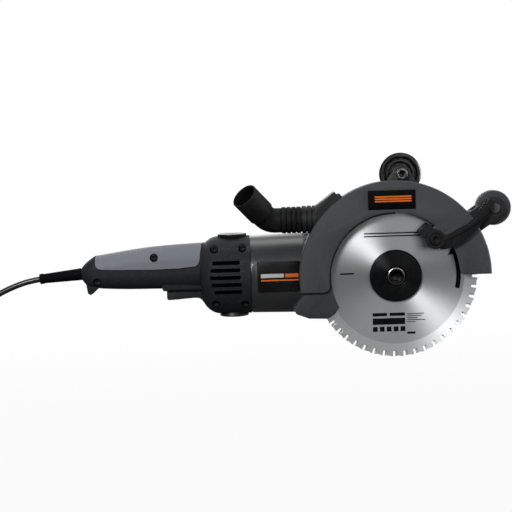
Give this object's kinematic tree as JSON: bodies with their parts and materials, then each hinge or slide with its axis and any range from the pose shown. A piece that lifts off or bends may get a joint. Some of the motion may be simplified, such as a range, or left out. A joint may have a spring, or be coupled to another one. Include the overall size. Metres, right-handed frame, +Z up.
{
  "type": "dual blade saw",
  "caption": "Hand-held power saw with twin opposed blades on one spindle line, half guard, swivel dust elbow, side grip, barrel motor, trigger handle and mains cord.",
  "frame": {"origin": "middle of the main grip, where a hand holds it, on the parting plane of the handle", "axes": "+X along the motor axis towards the blades, +Z up, -Y the side that carries the blades"},
  "size_m": [0.6304, 0.1774, 0.3949],
  "materials": {
    "shell_plastic": "fine spark-eroded texture, charcoal",
    "grip_rubber": "soft satin, blue grey",
    "housing_plastic": "satin moulded, near black",
    "panel_black": "plain gloss plate",
    "trim_plastic": "satin moulded, black",
    "guard_paint": "matte powder coat, dark grey",
    "case_paint": "satin paint over a casting",
    "blade_steel": "ground in circles",
    "bright_steel": "turned and ground",
    "black_steel": "black oxide",
    "chrome": "bright plated",
    "laminations": "stacked sheet",
    "copper": "enamelled wire",
    "brass": "plain",
    "carbon": "pressed carbon",
    "cord_rubber": "smooth sheath"
  },
  "bodies": {
    "tool": {"handle_shell_near": "shell_plastic", "handle_shell_far": "shell_plastic", "grip_pad_near": "grip_rubber", "grip_pad_far": "grip_rubber", "shell_screws": "black_steel", "motor_housing": "housing_plastic", "side_panels": "panel_black", "stator": "laminations", "field_coils": "copper", "ball_bearings": "bright_steel", "brush_holders": "brass", "carbon_brushes": "carbon", "brush_springs": "bright_steel", "brush_caps": "trim_plastic", "power_switch": "trim_plastic", "cord_clamp": "trim_plastic", "strain_relief": "cord_rubber", "power_cord": "cord_rubber", "cord_coil": "cord_rubber", "cord_tail": "cord_rubber", "mains_plug": "cord_rubber", "plug_pins": "chrome", "gear_case": "case_paint", "rear_cover": "case_paint", "rear_cover_screws": "black_steel", "gear_case_screws": "black_steel", "guard_shell": "guard_paint", "guard_front": "guard_paint", "guard_heel": "guard_paint", "guard_screws": "black_steel", "guard_badge": "panel_black", "handle_bracket": "case_paint", "side_grip": "trim_plastic", "side_grip_bolt": "chrome", "feeder_bracket": "guard_paint", "lever_screw": "black_steel"},
    "outer_drive": {"inner_spindle": "bright_steel", "far_bevel_gear": "bright_steel", "outer_blade": "blade_steel", "clamp_flange": "black_steel", "clamp_bolt": "chrome"},
    "inner_drive": {"hollow_spindle": "bright_steel", "near_bevel_gear": "bright_steel", "spindle_bushes": "brass", "inner_blade": "blade_steel", "inner_blade_screws": "black_steel"},
    "armature": {"armature_shaft": "bright_steel", "armature_core": "laminations", "armature_windings": "copper", "commutator": "copper", "cooling_fan": "trim_plastic", "drive_pinion": "bright_steel"},
    "trigger": {"trigger": "trim_plastic"},
    "lock_off": {"lock_off_button": "trim_plastic"},
    "spindle_lock": {"spindle_lock": "trim_plastic"},
    "elbow": {"dust_elbow": "trim_plastic"},
    "dial": {"feed_dial": "guard_paint", "dial_pin": "guard_paint"},
    "lever": {"lube_lever": "guard_paint", "lube_pad": "cord_rubber"}
  },
  "joints": [
    {"name": "outer_blade_spin", "type": "hinge", "parent": "tool", "child": "outer_drive", "pos_m": [0.262, -0.061, -0.01], "axis": [0, -1, 0], "continuous": true},
    {"name": "inner_blade_spin", "type": "hinge", "parent": "tool", "child": "inner_drive", "pos_m": [0.262, -0.059, -0.01], "axis": [0, -1, 0], "continuous": true},
    {"name": "armature_spin", "type": "hinge", "parent": "tool", "child": "armature", "pos_m": [0.138, 0, -0.01], "axis": [1, 0, 0], "continuous": true},
    {"name": "trigger_pull", "type": "hinge", "parent": "tool", "child": "trigger", "pos_m": [0.0605, 0, -0.019], "axis": [0, 1, 0], "range_deg": [0, 6], "stiffness_Nm_per_rad": 2, "springref_deg": -4.58},
    {"name": "lock_off_push", "type": "slide", "parent": "tool", "child": "lock_off", "axis": [0, -1, 0], "range_m": [0, 0.003], "stiffness_N_per_m": 400, "springref_m": -0.002},
    {"name": "spindle_lock_push", "type": "slide", "parent": "tool", "child": "spindle_lock", "axis": [0, -1, 0], "range_m": [0, 0.004], "stiffness_N_per_m": 500, "springref_m": -0.002},
    {"name": "elbow_swivel", "type": "hinge", "parent": "tool", "child": "elbow", "pos_m": [0.162, -0.058, 0.049], "axis": [1, 0, 0], "range_deg": [-90, 145]},
    {"name": "dial_turn", "type": "hinge", "parent": "tool", "child": "dial", "pos_m": [0.36087, -0.06, 0.05532], "axis": [0, -1, 0], "continuous": true},
    {"name": "lever_swing", "type": "hinge", "parent": "tool", "child": "lever", "pos_m": [0.3004, -0.077, 0.0265], "axis": [0, -1, 0], "range_deg": [0, 12]}
  ],
  "couplings": [
    {"joint": "inner_blade_spin", "follows": "outer_blade_spin", "ratio": -1},
    {"joint": "armature_spin", "follows": "outer_blade_spin", "ratio": -3.5}
  ]
}
